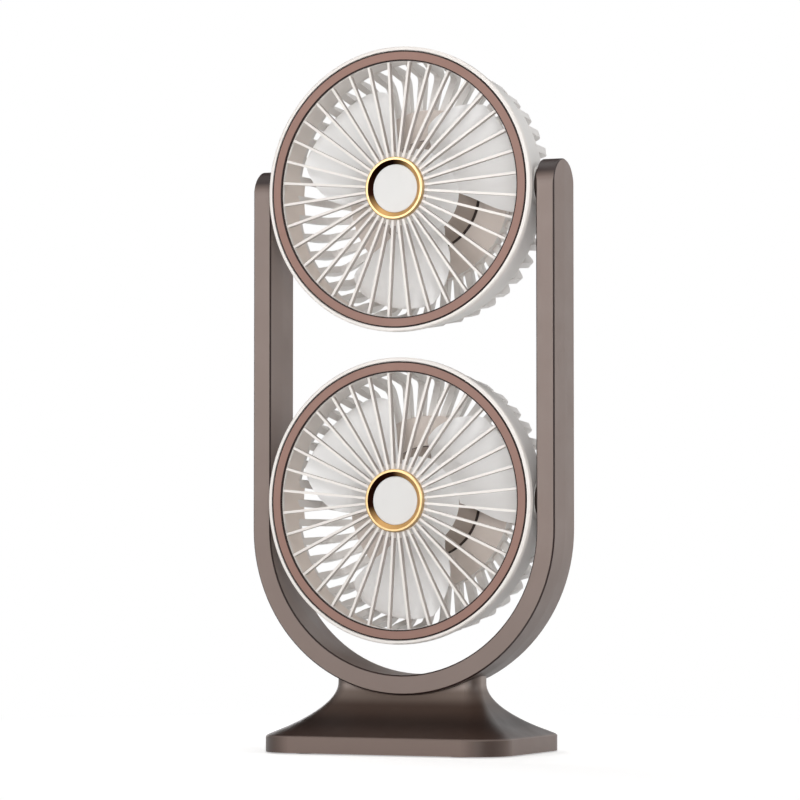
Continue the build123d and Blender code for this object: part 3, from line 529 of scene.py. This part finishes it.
def dress_pedestal():
    """The pedestal's own material, with painted shade and light on its flare, which takes the place of its
    slot's.
    """
    dress("base_shell", moulded("pedestal_shell", FLARE_SHADE_CLOUDS, roughness=0.36, variation=0.1, grain=0.00001,
                                zone=add_flare_shading, specular=0.25))


def head_middle(head):
    """Height of a head's fan axis, from its front grille."""
    low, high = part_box(head + "_front_grille")
    return (low[2] + high[2]) / 2


def white_plastic(name, colour, zone, crevice_shade=None):
    return moulded(name, colour, SHELL_ROUGHNESS, SHELL_VARIATION, crevice_shade=crevice_shade, zone=zone)


def dress_head(head):
    """The pieces of a head whose painted shade, shadow lines and reflection change with the distance from
    its fan axis, and its fan wheel.
    """
    middle = head_middle(head)
    spokes = white_plastic(head + "_spokes", WHITE_SHELL, partial(add_spoke_side_shade, middle=middle))
    ribs = white_plastic(head + "_ribs", RIBS, partial(add_rear_disc_shade, middle=middle), crevice_shade=RIB_CREVICE_SHADE)
    wall = white_plastic(head + "_wall", WALL_OUTSIDE, partial(add_inside_wall_shading, middle=middle))
    bezel = moulded(head + "_bezel", ROSE, roughness=0.45, specular=0.25,
                    zone=partial(add_bezel_shadow_lines, middle=middle))
    gold = metal(head + "_gold", GOLD, roughness=0.36, zone=partial(add_gold_bevel_reflection, middle=middle))
    blades = moulded(head + "_blades", BLADE, roughness=0.36, variation=0.012,
                     zone=partial(add_hub_cone_shade, middle=middle))
    dress(head + "_front_grille", spokes)
    dress(head + "_rear_grille", ribs)
    dress(head + "_drum", wall)
    dress(head + "_bezel_ring", bezel)
    dress(head + "_hub_ring", gold)
    add_fan_wheel(head, middle, blades)


def eased(share):
    """0 to 1 with level ends."""
    share = min(max(share, 0.0), 1.0)
    return share * share * (3 - 2 * share)


def blade_edges(radius):
    """Angles of a blade's low and high edges at a radius, in degrees."""
    span = min(1.0, (radius - BLADE_ROOT) / LOW_EDGE_REACH)
    corner = max(0.0, (radius - BLADE_CORNER) / (BLADE_TIP - BLADE_CORNER))
    low = LOW_EDGE_START - LOW_EDGE_SWEEP * math.sin(math.pi / 2 * span) + LOW_CORNER_TURN * corner**2
    curve = max(0.0, (radius - HIGH_EDGE_BEND) / (BLADE_TIP - HIGH_EDGE_BEND))
    return low, HIGH_EDGE_START - HIGH_EDGE_TURN * curve**HIGH_EDGE_POWER


def blade_point(row, column, side):
    """Distance from the axis, angle in degrees and forward place of a point on a blade's front or rear."""
    radius = BLADE_ROOT + (BLADE_TIP - BLADE_ROOT) * math.sin(math.pi / 2 * row / BLADE_ROWS)
    low, high = blade_edges(radius)
    share = 0.5 - 0.5 * math.cos(math.pi * column / BLADE_COLUMNS)
    rise = eased((radius - BLADE_ROOT) / (BLADE_RISE_END - BLADE_ROOT))
    tip_place = BLADE_REAR_PLACE + (BLADE_FRONT_PLACE - BLADE_REAR_PLACE) * share
    place = BLADE_ROOT_PLACE + (tip_place - BLADE_ROOT_PLACE) * rise
    from_side = EDGE_FULLNESS + SIDE_FILLING * share * (1 - share)
    from_tip = EDGE_FULLNESS + TIP_FILLING * (1 - row / BLADE_ROWS)
    half_thickness = BLADE_HALF_THICKNESS * min(1.0, from_side, from_tip)
    return radius, low + (high - low) * share, place + side * half_thickness


def add_blade(points, faces, turn, to_world):
    """One blade: a front and a rear grid of points, joined round their edge."""
    first = len(points)
    width = BLADE_COLUMNS + 1
    layer = width * (BLADE_ROWS + 1)
    for side in (1, -1):
        for row in range(BLADE_ROWS + 1):
            for column in range(width):
                radius, angle, place = blade_point(row, column, side)
                points.append(to_world(radius, angle + turn, place))
    for row in range(BLADE_ROWS):
        for column in range(BLADE_COLUMNS):
            corner = first + row * width + column
            quad = (corner, corner + width, corner + width + 1, corner + 1)
            faces.append(quad)
            faces.append(tuple(layer + index for index in reversed(quad)))
    rim = [first + column for column in range(width)]
    rim += [first + row * width + BLADE_COLUMNS for row in range(1, BLADE_ROWS + 1)]
    rim += [first + BLADE_ROWS * width + column for column in range(BLADE_COLUMNS - 1, -1, -1)]
    rim += [first + row * width for row in range(BLADE_ROWS - 1, 0, -1)]
    for here, after in zip(rim, rim[1:] + rim[:1]):
        faces.append((here, after, after + layer, here + layer))


def hub_outline():
    """Half section of the hub, from the middle of its front face round to the end of its shaft bore."""
    inside = HUB_FRONT - HUB_PLATE
    rim_radius = HUB_FACE_RADIUS + HUB_ROUNDING[-1][0]
    outline = [(0.0, HUB_FRONT), (HUB_FACE_RADIUS, HUB_FRONT)]
    outline += [(HUB_FACE_RADIUS + out, HUB_FRONT - back) for out, back in HUB_ROUNDING]
    outline += [(CONE_FOOT_RADIUS, HUB_REAR), (CONE_FOOT_RADIUS - CONE_WALL, HUB_REAR)]
    outline += [(rim_radius - CONE_WALL, inside), (MAGNET_SEAT[0], inside)]
    outline += [(radius, inside - MAGNET_SEAT_LENGTH) for radius in MAGNET_SEAT]
    outline += [(MAGNET_SEAT[1], inside), (BOSS_RADIUS, inside)]
    outline += [(radius, inside - BOSS_LENGTH) for radius in (BOSS_RADIUS, BORE_RADIUS)]
    return outline + [(BORE_RADIUS, inside - BORE_BOTTOM), (0.0, inside - BORE_BOTTOM)]


def add_hub(points, faces, to_world):
    """The hub, its outline turned about the fan axis, with one point where it meets the axis."""
    rings = []
    for radius, place in hub_outline():
        count = 1 if radius == 0 else HUB_SEGMENTS
        rings.append([len(points) + number for number in range(count)])
        points.extend(to_world(radius, 360 * number / count, place) for number in range(count))
    for near, far in zip(rings, rings[1:]):
        for number in range(HUB_SEGMENTS):
            after = (number + 1) % HUB_SEGMENTS
            if len(near) == 1:
                faces.append((near[0], far[number], far[after]))
            elif len(far) == 1:
                faces.append((near[number], far[0], near[after]))
            else:
                faces.append((near[number], far[number], far[after], near[after]))


def add_fan_wheel(head, middle, material):
    """Fan wheel with curved, twisted blades that leave the hub at its front edge."""
    def to_world(radius, angle, place):
        turn = math.radians(angle)
        return (radius * math.cos(turn), -place, middle + radius * math.sin(turn))

    points, faces = [], []
    add_hub(points, faces, to_world)
    for turn in BLADE_TURNS:
        add_blade(points, faces, turn, to_world)
    mesh = bpy.data.meshes.new(head + "_fan_wheel")
    mesh.from_pydata(points, [], faces)
    mesh.validate()
    shape = bmesh.new()
    shape.from_mesh(mesh)
    bmesh.ops.recalc_face_normals(shape, faces=shape.faces)
    shape.to_mesh(mesh)
    shape.free()
    mesh.shade_smooth()
    mesh.set_sharp_from_angle(angle=math.radians(SHARP_ANGLE))
    mesh.materials.append(material)
    wheel = bpy.data.objects.new(head + "_fan_wheel", mesh)
    bpy.context.scene.collection.objects.link(wheel)
    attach(wheel, head + "_rotor")
    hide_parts(head + "_impeller")


def add_seen(tree):
    """1 for what the camera sees, straight, reflected or through glass, and 0 for light on the object."""
    rays = tree.nodes.new("ShaderNodeLightPath").outputs
    seen = add_math(tree, "MAXIMUM", rays["Is Camera Ray"], rays["Is Glossy Ray"])
    return add_math(tree, "MAXIMUM", seen, rays["Is Transmission Ray"])


def add_floor_paint():
    """Pale and matt near the object, to keep its shadow, and plain white to the camera further out."""
    material, tree = new_material("floor_paint")
    shader = shader_of(tree)
    shader.inputs["Roughness"].default_value = FLOOR_ROUGHNESS
    shader.inputs["Base Color"].default_value = paint(FLOOR_COLOUR)
    seen = add_seen(tree)
    glow = tree.nodes.new("ShaderNodeEmission")
    tree.links.new(add_math(tree, "MULTIPLY", seen, FLOOR_GLOW), glow.inputs["Strength"])
    near = tree.nodes.new("ShaderNodeAddShader")
    tree.links.new(shader.outputs[0], near.inputs[0])
    tree.links.new(glow.outputs[0], near.inputs[1])
    reach = add_vector(tree, "LENGTH", add_reading(tree, "Object"))["Value"]
    fade = add_range(tree, reach, FLOOR_FADE, interpolation="SMOOTHSTEP")
    white = tree.nodes.new("ShaderNodeEmission")
    mix = tree.nodes.new("ShaderNodeMixShader")
    tree.links.new(add_math(tree, "MULTIPLY", seen, fade), mix.inputs[0])
    tree.links.new(near.outputs[0], mix.inputs[1])
    tree.links.new(white.outputs[0], mix.inputs[2])
    out = next(node for node in tree.nodes if node.type == "OUTPUT_MATERIAL")
    tree.links.new(mix.outputs[0], out.inputs["Surface"])
    return material


def add_floor():
    bpy.ops.mesh.primitive_plane_add(size=FLOOR_SIZE, location=(0, 0, 0))
    floor = bpy.context.object
    floor.name = "floor"
    floor.data.materials.append(add_floor_paint())


def add_flag(name, place, size, turn):
    """Dark card that only reflections show, as in a studio for shiny products."""
    bpy.ops.mesh.primitive_plane_add(size=1.0, location=place)
    flag = bpy.context.object
    flag.name = name
    flag.scale = (*size, 1)
    flag.rotation_euler = tuple(math.radians(angle) for angle in turn)
    material, tree = new_material(name + "_cloth")
    shader_of(tree).inputs["Base Color"].default_value = paint(FLAG_COLOUR)
    shader_of(tree).inputs["Roughness"].default_value = FLAG_ROUGHNESS
    flag.data.materials.append(material)
    flag.visible_camera = False
    flag.visible_diffuse = False
    flag.visible_shadow = False
    flag.visible_transmission = False


def add_background(tree, colour, strength):
    background = tree.nodes.new("ShaderNodeBackground")
    background.inputs["Color"].default_value = paint(colour)
    background.inputs["Strength"].default_value = strength
    return background.outputs[0]


def add_world():
    """A weak even light on the object, seen as plain white."""
    world = bpy.data.worlds.new("studio")
    bpy.context.scene.world = world
    world.use_nodes = True
    tree = world.node_tree
    tree.nodes.clear()
    mix = tree.nodes.new("ShaderNodeMixShader")
    out = tree.nodes.new("ShaderNodeOutputWorld")
    tree.links.new(add_seen(tree), mix.inputs[0])
    tree.links.new(add_background(tree, WORLD_COLOUR, WORLD_STRENGTH), mix.inputs[1])
    tree.links.new(add_background(tree, WHITE, 1.0), mix.inputs[2])
    tree.links.new(mix.outputs[0], out.inputs["Surface"])


def add_lamp(name, place, size, power):
    """A square soft lamp turned to the object's middle."""
    lamp = bpy.data.lights.new(name, "AREA")
    lamp.energy = power
    lamp.size = size
    item = bpy.data.objects.new(name, lamp)
    bpy.context.scene.collection.objects.link(item)
    item.location = place
    toward = [target - start for target, start in zip(LAMP_TARGET, place)]
    level = math.hypot(toward[0], toward[1])
    item.rotation_euler = (math.atan2(level, -toward[2]), 0, math.atan2(-toward[0], toward[1]))


def add_camera():
    data = bpy.data.cameras.new("photo_view")
    data.lens = CAMERA_LENS
    data.sensor_width = SENSOR_WIDTH
    data.sensor_fit = "HORIZONTAL"
    data.clip_end = CAMERA_REACH
    camera = bpy.data.objects.new("photo_view", data)
    bpy.context.scene.collection.objects.link(camera)
    camera.location = CAMERA_PLACE
    camera.rotation_euler = (math.radians(90 + CAMERA_PITCH), 0, math.radians(CAMERA_YAW))
    bpy.context.scene.camera = camera


dress_by_slot()
dress_pedestal()
for head in ("upper", "lower"):
    dress_head(head)
add_floor()
add_world()
for flag, (place, size, turn) in FLAGS.items():
    add_flag(flag, place, size, turn)
for lamp, (place, size, power) in LAMPS.items():
    add_lamp(lamp, place, size, power)
add_camera()
bpy.context.scene.view_settings.view_transform = "Standard"
